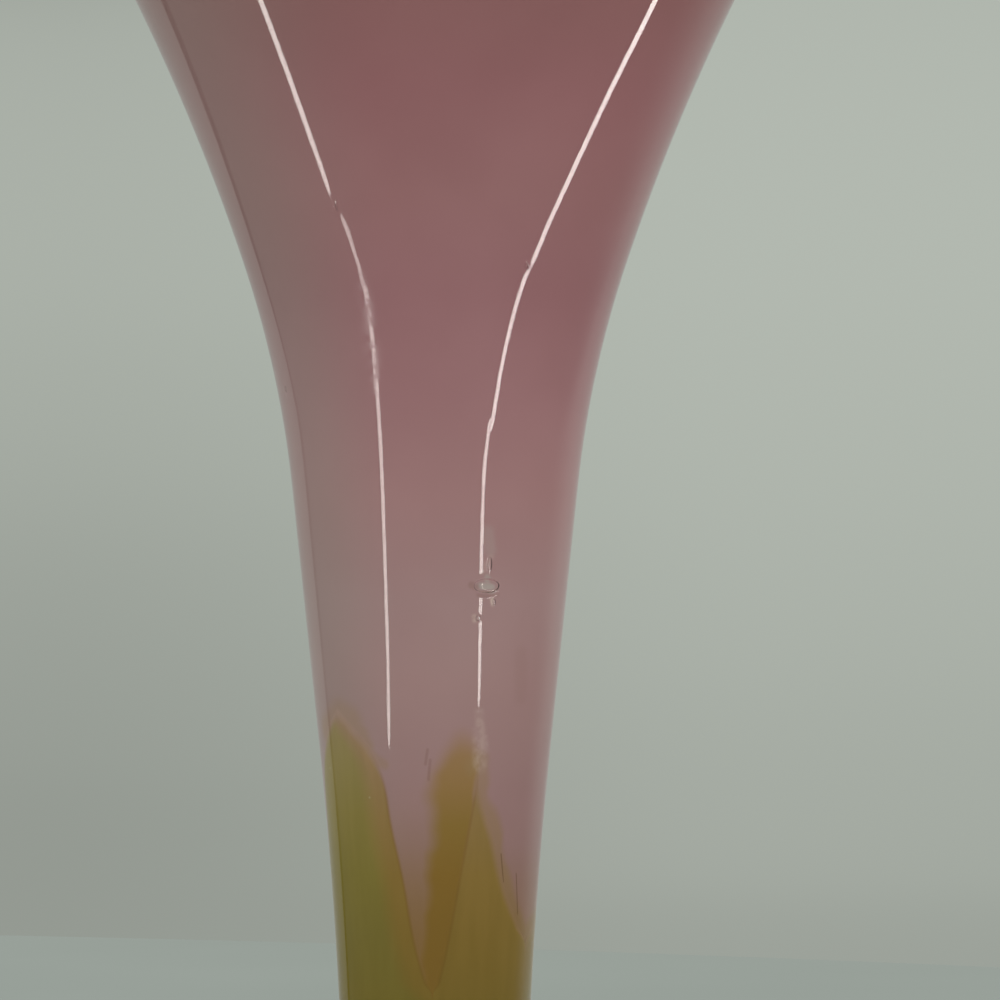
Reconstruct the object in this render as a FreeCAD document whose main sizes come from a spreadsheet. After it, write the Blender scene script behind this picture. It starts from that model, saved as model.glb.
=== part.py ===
import FreeCAD, Part
import Sketcher
import math
import os

# A hand-blown trumpet vase, in millimetres: a rose bubble and five pulled green leaves under a
# clear gather, on a green stem core, a clear collar and an applied foot.
# It stands on the XY plane with its axis on Z, and its front faces -Y.

document = FreeCAD.newDocument("TrumpetVase")
sizes = document.addObject("Spreadsheet::Sheet", "Sizes")
size_count = 0


def add_size(name, content):
    global size_count
    size_count += 1
    sizes.set(f"A{size_count}", name)
    sizes.set(f"B{size_count}", content)
    sizes.setAlias(f"B{size_count}", name)


# Driving lengths
lengths = [
    ("foot_radius", 54.0),
    ("foot_shoulder_radius", 31.0),
    ("foot_neck_margin", 1.6),
    ("foot_edge_thickness", 3.6),
    ("foot_edge_bulge", 1.2),
    ("foot_rise", 19.0),
    ("foot_rest_width", 9.0),
    ("foot_hollow_rise", 1.8),
    ("pontil_radius", 12.0),
    ("pontil_depth", 2.0),
    ("merese_height", 7.5),
    ("merese_face_margin", 2.1),
    ("merese_bulge", 3.2),
    ("stem_length", 58.0),
    ("stem_swell", 0.65),
    ("waist_radius", 14.25),
    ("flare_rise", 212.0),
    ("flare_end_radius", 68.1),
    ("lip_length", 4.0),
    ("casing_wall", 2.2),
    ("leaf_depth", 0.8),
    ("lining_wall", 1.6),
    ("cut_overrun", 3.0),
]
for name, length in lengths:
    add_size(name, str(length))

# Stations up the outer wall above the waist, where one smooth bend of the trumpet passes into the
# next: the height as a share of the flare's rise, and how far the wall leans out from upright, as a
# share of the whole flare's mean lean. The last lean follows from the radius that the flare ends at.
station_shares = [(0, 0.077), (0.302, 0.421), (0.491, 0.421), (0.656, 1.298), (0.851, 1.838),
                  (1, None)]
last = len(station_shares) - 1
add_size("mean_lean", "=atan((flare_end_radius - waist_radius) / flare_rise) / 1 deg")
for number, (rise_share, lean_share) in enumerate(station_shares):
    add_size(f"flare_rise_{number}", f"={rise_share} * flare_rise")
    if lean_share is not None:
        add_size(f"flare_lean_{number}", f"={lean_share} * mean_lean")

# Slope of the foot's top at its edge and at its shoulder, in degrees from level
add_size("foot_edge_slope", "20")
add_size("foot_shoulder_slope", "10")

# Each leaf: where its tip points, as a share of a full turn to the right of the front, and how high
# the tip stands above the waist, as a share of the flare's rise
leaf_tip_shares = [
    ("leaf_front_left", -0.161, 0.330),
    ("leaf_front_right", 0.069, 0.292),
    ("leaf_side_right", 0.281, 0.193),
    ("leaf_back", 0.453, 0.311),
    ("leaf_side_left", 0.589, 0.255),
]

# Each notch between two leaves, from the one left of the first leaf, in the same way
notch_shares = [
    ("notch_left", -0.311, 0.160),
    ("notch_front", -0.003, 0.118),
    ("notch_right", 0.194, 0.156),
    ("notch_back_right", 0.364, 0.127),
    ("notch_back_left", 0.528, 0.142),
]
for name, turn_share, rise_share in leaf_tip_shares + notch_shares:
    add_size(f"{name}_turn_share", str(turn_share))
    add_size(f"{name}_rise", f"={rise_share} * flare_rise")

# How closely a leaf's grown outline is worked out, as a share of the leaf's depth
accuracy_share = 0.001

# Leaf edges from the tip to the notch beside the leaf: shares of the turn and of the drop
full_edge_shares = [(0, 0), (0.36, 0.17), (0.58, 0.50), (0.84, 0.86), (1, 1)]
straight_edge_shares = [(0, 0), (0.18, 0.22), (0.54, 0.62), (0.80, 0.86), (1, 1)]
hollow_edge_shares = [(0, 0), (0.13, 0.22), (0.30, 0.58), (0.62, 0.82), (1, 1)]
leaf_edges = {
    "leaf_front_left": (full_edge_shares, full_edge_shares),
    "leaf_front_right": (straight_edge_shares, hollow_edge_shares),
    "leaf_side_right": (full_edge_shares, straight_edge_shares),
    "leaf_back": (straight_edge_shares, full_edge_shares),
    "leaf_side_left": (hollow_edge_shares, full_edge_shares),
}

# The stem swells to its base, and collar and foot reach out from there
add_size("stem_base_radius", "=waist_radius + stem_swell")
add_size("merese_face_radius", "=stem_base_radius + merese_face_margin")
add_size("foot_neck_radius", "=stem_base_radius + foot_neck_margin")

# Levels up the axis
add_size("foot_top", "=foot_edge_thickness + foot_rise")
add_size("stem_base", "=foot_top + merese_height")
add_size("waist", "=stem_base + stem_length")
for number in range(last + 1):
    add_size(f"flare_height_{number}", f"=waist + flare_rise_{number}")
add_size("mouth", f"=flare_height_{last} + lip_length")

# Outer radius at each station: between two stations an arc turns steadily from lean to lean
add_size("flare_radius_0", "=waist_radius")
for number in range(1, last):
    mean_lean = f"(flare_lean_{number - 1} + flare_lean_{number}) / 2"
    step = f"(flare_rise_{number} - flare_rise_{number - 1})"
    add_size(f"flare_radius_{number}", f"=flare_radius_{number - 1} + {step} * tan({mean_lean})")
add_size(f"flare_radius_{last}", "=flare_end_radius")
last_step = f"(flare_rise_{last} - flare_rise_{last - 1})"
last_growth = f"(flare_end_radius - flare_radius_{last - 1})"
add_size(f"flare_lean_{last}",
         f"=2 * atan({last_growth} / {last_step}) / 1 deg - flare_lean_{last - 1}")
add_size("stem_base_lean", "=-2 * atan(stem_swell / stem_length) / 1 deg - flare_lean_0")

# Bends of the wall between stations, as radii: a stretch between equal leans is straight
bent = [number for number in range(last)
        if station_shares[number][1] != station_shares[number + 1][1]]
for number in bent:
    bending = f"(sin(flare_lean_{number + 1}) - sin(flare_lean_{number}))"
    add_size(f"flare_bend_{number}",
             f"=(flare_rise_{number + 1} - flare_rise_{number}) / {bending}")
add_size("stem_bend", "=stem_length / (sin(flare_lean_0) - sin(stem_base_lean))")

# The lip: outer wall and inner wall run on straight, and one rounding on each side of the seam
# between casing and lining brings them level at the crest
add_size("lip_corner", f"=flare_end_radius + lip_length * tan(flare_lean_{last})")
add_size("lip_crest", "=lip_corner - casing_wall")
add_size("lip_outer_rounding", f"=casing_wall * tan((90 - flare_lean_{last}) / 2)")
add_size("lip_outer_start", f"=lip_corner - casing_wall * sin(flare_lean_{last})")
add_size("lip_outer_height", f"=mouth - casing_wall * cos(flare_lean_{last})")
add_size("lip_inner_rounding", f"=lining_wall * tan((90 + flare_lean_{last}) / 2)")
add_size("lip_inner_start",
         f"=lip_corner - casing_wall - lining_wall - lining_wall * sin(flare_lean_{last})")
add_size("lip_inner_height", f"=mouth - lining_wall * cos(flare_lean_{last})")

# Layers of the wall, measured inwards from the outer surface
add_size("casing_cover", "=casing_wall - leaf_depth")
add_size("whole_wall", "=casing_wall + lining_wall")
add_size("casing_cover_stem_base_radius", "=stem_base_radius - casing_cover")
for layer in ("casing_cover", "casing_wall", "whole_wall"):
    for number in range(last + 1):
        add_size(f"{layer}_flare_radius_{number}", f"=flare_radius_{number} - {layer}")

# The round tip of the bubble, and of the hollow inside it
add_size("bubble_tip", "=waist - casing_wall_flare_radius_0")
add_size("hollow_tip", "=waist - whole_wall_flare_radius_0")

# The collar's rounded rim
add_size("merese_rounding",
         "=((merese_height / 2) ^ 2 + merese_bulge ^ 2) / (2 * merese_bulge)")

# The foot's top, edge, hollowed underside and pontil
add_size("foot_shoulder_height",
         "=foot_edge_thickness + (foot_radius - foot_shoulder_radius)"
         " * tan((foot_edge_slope + foot_shoulder_slope) / 2)")
add_size("foot_neck_slope",
         "=2 * atan((foot_top - foot_shoulder_height) / (foot_shoulder_radius - foot_neck_radius))"
         " / 1 deg - foot_shoulder_slope")
add_size("foot_edge_bend",
         "=(foot_radius - foot_shoulder_radius) / (sin(foot_edge_slope) - sin(foot_shoulder_slope))")
add_size("foot_neck_bend", "=(foot_shoulder_radius - foot_neck_radius)"
                           " / (sin(foot_neck_slope) - sin(foot_shoulder_slope))")
add_size("foot_edge_rounding", "=((foot_edge_thickness / 2) ^ 2 + foot_edge_bulge ^ 2)"
                               " / (2 * foot_edge_bulge)")
add_size("foot_rest_radius", "=foot_radius - foot_rest_width")
add_size("pontil_edge_height", "=foot_hollow_rise * (1 - pontil_radius / foot_rest_radius)")
add_size("pontil_roof", "=pontil_edge_height + pontil_depth")
add_size("pontil_bend", "=(pontil_radius ^ 2 + pontil_depth ^ 2) / (2 * pontil_depth)")
document.recompute()


def size(name):
    return sizes.get(name) if name else 0.0


def spot(place):
    radius, height = place
    return FreeCAD.Vector(size(radius), size(height), 0)


def bind(sketch, constraint, name):
    number = sketch.addConstraint(constraint)
    sketch.setExpression(f"Constraints[{number}]", f"{sizes.Name}.{name}")


def pin(sketch, geometry, corner, place):
    # A point stands at its named radius and height; no name puts it on the axis or the ground
    radius, height = place
    if radius:
        bind(sketch, Sketcher.Constraint("DistanceX", -1, 1, geometry, corner, size(radius)), radius)
    else:
        sketch.addConstraint(Sketcher.Constraint("PointOnObject", geometry, corner, -2))
    if height:
        bind(sketch, Sketcher.Constraint("DistanceY", -1, 1, geometry, corner, size(height)), height)
    else:
        sketch.addConstraint(Sketcher.Constraint("PointOnObject", geometry, corner, -1))


def draw_arc(sketch, start, end, bend, side):
    # An arc under a half circle; side is 1 where it turns left on its way, and -1 where right
    chord = spot(end) - spot(start)
    across = FreeCAD.Vector(-chord.y, chord.x, 0).normalize()
    sagitta_leg = math.sqrt(size(bend) ** 2 - (chord.Length / 2) ** 2)
    centre = spot(start) + chord / 2 + across * side * sagitta_leg
    first, second = (start, end) if side > 0 else (end, start)
    angles = [math.atan2((spot(place) - centre).y, (spot(place) - centre).x)
              for place in (first, second)]
    circle = Part.Circle(centre, FreeCAD.Vector(0, 0, 1), size(bend))
    edge = sketch.addGeometry(Part.ArcOfCircle(circle, *angles), False)
    bind(sketch, Sketcher.Constraint("Radius", edge, size(bend)), bend)
    return edge


def draw_outline(sketch, runs):
    # A closed outline of straight runs (start, end) and arcs (start, end, bend, side)
    ends = []
    for start, end, *bending in runs:
        if bending:
            edge = draw_arc(sketch, start, end, *bending)
            start_corner, end_corner = (1, 2) if bending[1] > 0 else (2, 1)
        else:
            edge = sketch.addGeometry(Part.LineSegment(spot(start), spot(end)), False)
            start_corner, end_corner = 1, 2
        pin(sketch, edge, start_corner, start)
        ends.append((edge, start_corner, end_corner))
    for (edge, start, end), (following, next_start, next_end) in zip(ends, ends[1:] + ends[:1]):
        sketch.addConstraint(Sketcher.Constraint("Coincident", edge, end, following, next_start))


def turn(body, kind, name, runs):
    plane = next(item for item in body.Origin.OriginFeatures if item.Role == "XZ_Plane")
    sketch = body.newObject("Sketcher::SketchObject", f"{name}_outline")
    sketch.AttachmentSupport = [(plane, "")]
    sketch.MapMode = "FlatFace"
    draw_outline(sketch, runs)
    turning = body.newObject(kind, f"{name}_turning")
    turning.Profile = sketch
    turning.ReferenceAxis = (sketch, ["V_Axis"])
    turning.Angle = 360


def turned_body(label, runs):
    body = document.addObject("PartDesign::Body", label)
    turn(body, "PartDesign::Revolution", label, runs)
    return body


def backwards(runs):
    turned = []
    for start, end, *bending in reversed(runs):
        turned.append((end, start, bending[0], -bending[1]) if bending else (end, start))
    return turned


def flare(layer=""):
    # Waist to the end of the flare, on the outer surface or on the inner surface of a layer
    places = [(f"{layer}flare_radius_{number}", f"flare_height_{number}")
              for number in range(last + 1)]
    return [(places[number], places[number + 1], f"flare_bend_{number}", -1)
            if number in bent else (places[number], places[number + 1])
            for number in range(last)]


def stem(layer=""):
    # Stem base to waist, in the same way
    base = (f"{layer}stem_base_radius", "stem_base")
    return [(base, (f"{layer}flare_radius_0", "waist"), "stem_bend", -1)]


outer_stem = stem()
outer_flare = flare()
core_stem = stem("casing_cover_")
lining_flare = flare("casing_wall_")
hollow_flare = flare("whole_wall_")
cover_flare = flare("casing_cover_")
crest = ("lip_crest", "mouth")
outer_lip = ("lip_outer_start", "lip_outer_height")
inner_lip = ("lip_inner_start", "lip_inner_height")
lining_end = lining_flare[-1][1]

# Rose lining: the first bubble, open at the mouth and closed at its round tip
bubble_side = lining_flare[0][0]
hollow_side = hollow_flare[0][0]
bubble_dome = [(bubble_side, (None, "bubble_tip"), "casing_wall_flare_radius_0", -1)]
hollow_dome = [((None, "hollow_tip"), hollow_side, "whole_wall_flare_radius_0", 1)]
rose_lining = turned_body(
    "rose_lining",
    bubble_dome
    + [((None, "bubble_tip"), (None, "hollow_tip"))]
    + hollow_dome
    + hollow_flare
    + [(hollow_flare[-1][1], inner_lip), (inner_lip, crest, "lip_inner_rounding", -1)]
    + [(crest, lining_end)]
    + backwards(lining_flare))

# Clear casing: from the stem's base to the lip, with a step at the waist where the leaves start
casing_shell = turned_body(
    "casing_shell",
    outer_stem
    + outer_flare
    + [(outer_flare[-1][1], outer_lip), (outer_lip, crest, "lip_outer_rounding", 1)]
    + [(crest, lining_end)]
    + backwards(lining_flare)
    + [(bubble_side, core_stem[0][1])]
    + backwards(core_stem)
    + [(core_stem[0][0], outer_stem[0][0])])

# Green stem core: solid up to the cup that the bubble's tip sits in
green_stem = turned_body(
    "green_stem",
    core_stem
    + [(core_stem[0][1], bubble_side)]
    + bubble_dome
    + [((None, "bubble_tip"), (None, "stem_base")), ((None, "stem_base"), core_stem[0][0])])

# Clear collar between stem and foot, with a rounded rim
merese_foot = ("merese_face_radius", "foot_top")
merese_head = ("merese_face_radius", "stem_base")
stem_merese = turned_body("stem_merese", [
    ((None, "foot_top"), merese_foot),
    (merese_foot, merese_head, "merese_rounding", 1),
    (merese_head, (None, "stem_base")),
    ((None, "stem_base"), (None, "foot_top")),
])

# Applied foot: a low swept dome with a rounded edge, on a rest ring round a hollowed underside
foot_rest = ("foot_rest_radius", None)
foot_edge = ("foot_radius", "foot_edge_thickness")
foot_shoulder = ("foot_shoulder_radius", "foot_shoulder_height")
foot_neck = ("foot_neck_radius", "foot_top")
foot = turned_body("foot", [
    (foot_rest, ("foot_radius", None)),
    (("foot_radius", None), foot_edge, "foot_edge_rounding", 1),
    (foot_edge, foot_shoulder, "foot_edge_bend", 1),
    (foot_shoulder, foot_neck, "foot_neck_bend", -1),
    (foot_neck, (None, "foot_top")),
    ((None, "foot_top"), (None, "foot_hollow_rise")),
    ((None, "foot_hollow_rise"), foot_rest),
])
document.recompute()

# Ground pontil hollow under the foot
pontil_edge = ("pontil_radius", "pontil_edge_height")
turn(foot, "PartDesign::Groove", "pontil", [
    ((None, None), ("pontil_radius", None)),
    (("pontil_radius", None), pontil_edge),
    (pontil_edge, (None, "pontil_roof"), "pontil_bend", 1),
    ((None, "pontil_roof"), (None, None)),
])

# The leaves' own layer, just under the clear cover, before it is cut into leaves
leaf_layer = turned_body(
    "leaf_layer",
    cover_flare
    + [(cover_flare[-1][1], lining_end)]
    + backwards(lining_flare)
    + [(bubble_side, cover_flare[0][0])])
document.recompute()


def unrolled(name, turns=0):
    # A named tip or notch on the unrolled stem: its turn from +X in radians, and its height
    azimuth = 360 * (size(f"{name}_turn_share") + turns)
    return FreeCAD.Base.Vector2d(math.radians(azimuth - 90), size("waist") + size(f"{name}_rise"))


def leaf_edge(tip, notch, shares):
    curve = Part.Geom2d.BSplineCurve2d()
    curve.interpolate([FreeCAD.Base.Vector2d(tip.x + across * (notch.x - tip.x),
                                             tip.y + down * (notch.y - tip.y))
                       for across, down in shares])
    return curve


def leaf_block(name, left_notch, right_notch):
    # The leaf's outline is drawn on a thin cylinder, in turn and height, then grown outwards
    left_shares, right_shares = leaf_edges[name]
    tip = unrolled(name)
    left = unrolled(left_notch)
    right = unrolled(right_notch)
    if right.x < left.x:
        right = unrolled(right_notch, 1)
    bottom = size("waist") - size("cut_overrun")
    foot_left = FreeCAD.Base.Vector2d(left.x, bottom)
    foot_right = FreeCAD.Base.Vector2d(right.x, bottom)
    outline = [
        Part.Geom2d.Line2dSegment(foot_left, foot_right),
        Part.Geom2d.Line2dSegment(foot_right, right),
        leaf_edge(tip, right, right_shares),
        leaf_edge(tip, left, left_shares),
        Part.Geom2d.Line2dSegment(left, foot_left),
    ]
    cylinder = Part.Cylinder()
    cylinder.Radius = size("waist_radius") / 2
    wire = Part.Wire(Part.__sortEdges__([curve.toShape(cylinder) for curve in outline]))
    face = Part.Face(cylinder, wire)
    face.validate()
    accuracy = size("leaf_depth") * accuracy_share
    return face.makeOffsetShape(size("flare_end_radius"), accuracy, fill=True)


leaf_pieces = []
for number, (name, *place) in enumerate(leaf_tip_shares):
    left_notch = notch_shares[number][0]
    right_notch = notch_shares[(number + 1) % len(notch_shares)][0]
    block = document.addObject("Part::Feature", f"{name}_outline")
    block.Shape = leaf_block(name, left_notch, right_notch)
    piece = document.addObject("Part::Common", name)
    piece.Base = leaf_layer
    piece.Tool = block
    leaf_pieces.append(piece)

# The clear casing fits round the leaves
leaf_group = document.addObject("Part::Compound", "leaf_group")
leaf_group.Links = leaf_pieces
clear_casing = document.addObject("Part::Cut", "clear_casing")
clear_casing.Base = casing_shell
clear_casing.Tool = leaf_group
document.recompute()

# Every piece is checked, then written under its own name
pieces = [clear_casing, rose_lining, green_stem, stem_merese, foot] + leaf_pieces
for item in document.Objects:
    if "Invalid" in item.State or "Error" in item.State:
        raise RuntimeError(f"{item.Label} could not be worked out")
for piece in pieces:
    if piece.Shape.isNull() or not piece.Shape.isValid():
        raise RuntimeError(f"{piece.Label} has no valid shape")

os.makedirs("parts", exist_ok=True)
for piece in pieces:
    piece.Shape.exportStep(f"parts/{piece.Label}.step")
    print(f"{piece.Label}: {piece.Shape.Volume / 1000:.2f} cubic centimetres")
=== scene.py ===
import math

import bmesh
import bpy
import numpy as np
from mathutils import Matrix, Vector


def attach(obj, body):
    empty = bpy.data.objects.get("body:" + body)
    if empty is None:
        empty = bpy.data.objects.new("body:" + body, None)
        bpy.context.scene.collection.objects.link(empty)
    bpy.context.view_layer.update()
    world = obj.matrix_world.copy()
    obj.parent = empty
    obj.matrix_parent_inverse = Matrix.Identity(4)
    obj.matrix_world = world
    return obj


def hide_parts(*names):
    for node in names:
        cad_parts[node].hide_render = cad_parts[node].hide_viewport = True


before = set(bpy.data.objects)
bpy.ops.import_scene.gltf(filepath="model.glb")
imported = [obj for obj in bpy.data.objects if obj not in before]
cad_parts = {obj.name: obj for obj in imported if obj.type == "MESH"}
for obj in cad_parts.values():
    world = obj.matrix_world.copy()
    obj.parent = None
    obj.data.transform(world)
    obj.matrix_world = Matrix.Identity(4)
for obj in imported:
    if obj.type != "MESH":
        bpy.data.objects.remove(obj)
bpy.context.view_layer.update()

# Lengths are in metres, angles in degrees and colours in 0-255 screen values.
# Turns go round the vase from its front, with the right side positive. A fade is given as
# where it starts and ends and, unless it runs from 0 to 1, the values there.

degreesPerRadian = 180 / math.pi
tiny = 1e-6
scene = bpy.context.scene
scene.view_settings.view_transform = "Standard"


def screenColour(red, green, blue):
    def linear(value):
        value /= 255
        return value / 12.92 if value <= 0.04045 else ((value + 0.055) / 1.055) ** 2.4
    return linear(red), linear(green), linear(blue), 1.0


def feed(tree, made, inputs):
    for name, value in inputs.items():
        if isinstance(value, bpy.types.NodeSocket):
            tree.links.new(value, made.inputs[name])
        else:
            made.inputs[name].default_value = value


def put(tree, kind, inputs=None, **settings):
    made = tree.nodes.new(kind)
    for name, value in settings.items():
        setattr(made, name, value)
    feed(tree, made, inputs or {})
    return made


def calc(tree, operation, *values, clamp=False):
    made = put(tree, "ShaderNodeMath", dict(enumerate(values)), operation=operation)
    made.use_clamp = clamp
    return made.outputs[0]


def times(tree, *values):
    result = values[0]
    for value in values[1:]:
        result = calc(tree, "MULTIPLY", result, value)
    return result


def plus(tree, first, second):
    return calc(tree, "ADD", first, second)


def minus(tree, first, second):
    return calc(tree, "SUBTRACT", first, second)


def fade(tree, value, start, end, low=0.0, high=1.0):
    made = put(tree, "ShaderNodeMapRange",
               {"Value": value, "From Min": start, "From Max": end, "To Min": low, "To Max": high},
               interpolation_type="SMOOTHSTEP")
    return made.outputs["Result"]


def fadeAll(tree, values, fades):
    # The fades of several values, multiplied
    return times(tree, *(fade(tree, value, *ends) for value, ends in zip(values, fades)))


def blendColours(tree, share, first, second, way="MIX"):
    made = put(tree, "ShaderNodeMix", {0: share, 6: first, 7: second}, data_type="RGBA",
               blend_type=way)
    return made.outputs[2]


def tinted(tree, share, colour, tint):
    # A colour as it looks through that much of a tint
    return blendColours(tree, share, colour, screenColour(*tint), "MULTIPLY")


def lengthOf(tree, x, y):
    return calc(tree, "SQRT", plus(tree, times(tree, x, x), times(tree, y, y)))


def shareBetween(tree, value, low, high):
    return calc(tree, "DIVIDE", minus(tree, value, low), high - low, clamp=True)


def noise(tree, place, scale, detail=2.0, distortion=0.0):
    made = put(tree, "ShaderNodeTexNoise", {"Vector": place, "Scale": scale, "Detail": detail,
                                            "Distortion": distortion})
    return made.outputs["Fac"]


def vectorCalc(tree, operation, *values):
    made = put(tree, "ShaderNodeVectorMath", dict(enumerate(values)), operation=operation)
    return made.outputs["Value" if operation == "LENGTH" else "Vector"]


def partsOf(tree, place):
    return put(tree, "ShaderNodeSeparateXYZ", {"Vector": place}).outputs


def placeOf(tree, x, y, z=0.0):
    return put(tree, "ShaderNodeCombineXYZ", {"X": x, "Y": y, "Z": z}).outputs[0]


def curveOf(tree, value, points, margin=0.001):
    # A smooth curve through points
    places, results = zip(*points)
    low, high = min(places), max(places)
    bottom, top = min(results) - margin, max(results) + margin
    made = put(tree, "ShaderNodeFloatCurve", {"Value": shareBetween(tree, value, low, high)})
    curve = made.mapping.curves[0]
    for number, (place, result) in enumerate(points):
        spot = ((place - low) / (high - low), (result - bottom) / (top - bottom))
        if number < 2:
            curve.points[number].location = spot
        else:
            curve.points.new(*spot)
    made.mapping.update()
    return plus(tree, times(tree, made.outputs[0], top - bottom), bottom)


def colourByHeight(tree, height, stops):
    # Stops go up the vase, each a height and its colour
    low, high = stops[0][0], stops[-1][0]
    made = put(tree, "ShaderNodeValToRGB", {"Fac": shareBetween(tree, height, low, high)})
    ramp = made.color_ramp
    while len(ramp.elements) < len(stops):
        ramp.elements.new(0.5)
    for element, stop in zip(ramp.elements, stops):
        element.position = (stop[0] - low) / (high - low)
    for element, stop in zip(ramp.elements, stops):
        element.color = screenColour(*stop[1])
    return made.outputs["Color"]


def newMaterial(name):
    material = bpy.data.materials.new(name)
    material.use_nodes = True
    tree = material.node_tree
    shader = tree.nodes["Principled BSDF"]
    return material, tree, shader


def newGroup(name, vectors, floats, result, kind="NodeSocketFloat"):
    # A node group's tree, the sockets that it is given and the socket of its result
    tree = bpy.data.node_groups.new(name, "ShaderNodeTree")
    for part in vectors:
        tree.interface.new_socket(part, in_out="INPUT", socket_type="NodeSocketVector")
    for part in floats:
        tree.interface.new_socket(part, in_out="INPUT", socket_type="NodeSocketFloat")
    tree.interface.new_socket(result, in_out="OUTPUT", socket_type=kind)
    output = tree.nodes.new("NodeGroupOutput")
    return tree, tree.nodes.new("NodeGroupInput").outputs, output.inputs[result]


def placeOn(tree):
    # Object place, turn round the axis and height
    place = put(tree, "ShaderNodeTexCoord").outputs["Object"]
    x, y, z = partsOf(tree, place)
    turn = times(tree, calc(tree, "ARCTAN2", x, times(tree, y, -1.0)), degreesPerRadian)
    return place, turn, z


def makeMatt(tree, shader, colour, roughness=0.5):
    feed(tree, shader, {"Base Color": colour, "Roughness": roughness, "Specular IOR Level": 0.0})


def addBump(tree, shader, height, reach=1.0):
    bump = put(tree, "ShaderNodeBump", {"Height": height, "Strength": 1.0, "Distance": reach})
    feed(tree, shader, {"Normal": bump.outputs[0]})


def addObject(name, shape):
    mesh = bpy.data.meshes.new(name)
    shape.to_mesh(mesh)
    shape.free()
    made = bpy.data.objects.new(name, mesh)
    scene.collection.objects.link(made)
    return made


def passLight(made):
    # The soft light reaches what is behind this piece as if it weren't there
    made.visible_shadow = False
    made.visible_diffuse = False


camera = {
    "distance": 1.0,
    "height": 0.1901,       # level with the middle of the picture
    "sideways": 0.0102,     # the vase stands left of the middle
    "frameWidth": 0.157,    # width of the picture at the vase's axis
    "sensor": 36.0,
}


def makeCamera():
    data = bpy.data.cameras.new("camera")
    data.sensor_width = camera["sensor"]
    data.lens = camera["sensor"] * camera["distance"] / camera["frameWidth"]
    data.clip_start = 0.01
    made = bpy.data.objects.new("camera", data)
    made.location = (camera["sideways"], -camera["distance"], camera["height"])
    made.rotation_euler = (math.radians(90), 0, 0)
    scene.collection.objects.link(made)
    scene.camera = made


makeCamera()
print("camera ready")

studio = {
    # Backdrop brightness by elevation, on the left and on the right
    "leftSide": [(-4.5, 149), (-3.2, 147), (-2.2, 150), (-0.9, 155), (1.0, 165), (2.7, 169),
                 (4.5, 162)],
    "rightSide": [(-4.5, 154), (-3.9, 156), (-3.2, 162), (-2.2, 165), (-0.9, 170), (1.0, 175),
                  (2.7, 177), (4.5, 175)],
    "rightward": (-0.075, 0.045),   # the fade from one to the other, across the picture
    "tint": (1.0, 1.035, 0.985),
    "screenPower": 2.2,             # from screen values to light
    "softLight": 1.0,
    "mirrorLeft": 0.37,      # how bright the glass mirrors the backdrop, on each side
    "mirrorRight": 0.43,
    "mirrorMiddle": (-10, 10),  # the fade between the two, by turn from the back
    "mirrorRoom": 0.15,
    "mirrorTint": (0.97, 1.0, 0.93),
    # Fades of what the glass mirrors: half the backdrop's width by elevation, the dark seam
    # inwards from its left edge, and the backdrop inwards from both and by elevation
    "halfWidth": (-12, -7.5, 42, 51.5),
    "seamFades": ((-5, -4), (0, -1)),
    "behindFades": ((-0.5, 0.5), (-24, 8), (-24, -9, 0.72, 1)),
    "stripColour": (255, 250, 244),
}


def makeAir():
    world = bpy.data.worlds.new("studioAir")
    scene.world = world
    world.use_nodes = True
    tree = world.node_tree
    tree.nodes.clear()
    direction = put(tree, "ShaderNodeTexCoord").outputs["Generated"]
    x, y, z = partsOf(tree, direction)
    fromBack = times(tree, calc(tree, "ARCTAN2", x, y), degreesPerRadian)
    elevation = times(tree, calc(tree, "ARCSINE", z), degreesPerRadian)

    # What the camera sees: a pale backdrop, lighter on the right and darker down to the floor
    rightward = fade(tree, x, *studio["rightward"])
    grey = plus(tree, times(tree, curveOf(tree, elevation, studio["rightSide"]), rightward),
                times(tree, curveOf(tree, elevation, studio["leftSide"]),
                      minus(tree, 1.0, rightward)))
    seen = put(tree, "ShaderNodeCombineColor", dict(enumerate(
        calc(tree, "POWER", times(tree, grey, part / 255), studio["screenPower"])
        for part in studio["tint"])))

    # What the glass mirrors: the backdrop behind it, and a darker room round it
    halfWidth = fade(tree, elevation, *studio["halfWidth"])
    leftEdge = plus(tree, fromBack, halfWidth)
    rightEdge = minus(tree, halfWidth, fromBack)
    seam = fadeAll(tree, (leftEdge, leftEdge), studio["seamFades"])
    behind = fadeAll(tree, (leftEdge, rightEdge, elevation), studio["behindFades"])
    level = fade(tree, fromBack, *studio["mirrorMiddle"], studio["mirrorLeft"],
                 studio["mirrorRight"])
    room = minus(tree, studio["mirrorRoom"], times(tree, seam, studio["mirrorRoom"]))
    mirrored = plus(tree, room, times(tree, behind, minus(tree, level, studio["mirrorRoom"])))
    glint = put(tree, "ShaderNodeCombineColor", dict(enumerate(
        times(tree, mirrored, part) for part in studio["mirrorTint"])))

    path = put(tree, "ShaderNodeLightPath").outputs
    outside = calc(tree, "LESS_THAN", path["Transmission Depth"], 0.5)
    mirrorRay = times(tree, path["Is Glossy Ray"], outside,
                      minus(tree, 1.0, path["Is Transmission Ray"]))
    inGlass = times(tree, path["Is Glossy Ray"], minus(tree, 1.0, outside))
    directRay = calc(tree, "MAXIMUM", calc(tree, "MAXIMUM", path["Is Camera Ray"],
                                           path["Is Transmission Ray"]), inGlass)
    soft = (studio["softLight"],) * 3 + (1.0,)
    colour = blendColours(tree, mirrorRay, soft, glint.outputs[0])
    colour = blendColours(tree, directRay, colour, seen.outputs[0])
    background = put(tree, "ShaderNodeBackground", {"Color": colour, "Strength": 1.0})
    put(tree, "ShaderNodeOutputWorld", {"Surface": background.outputs[0]})


makeAir()

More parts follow.
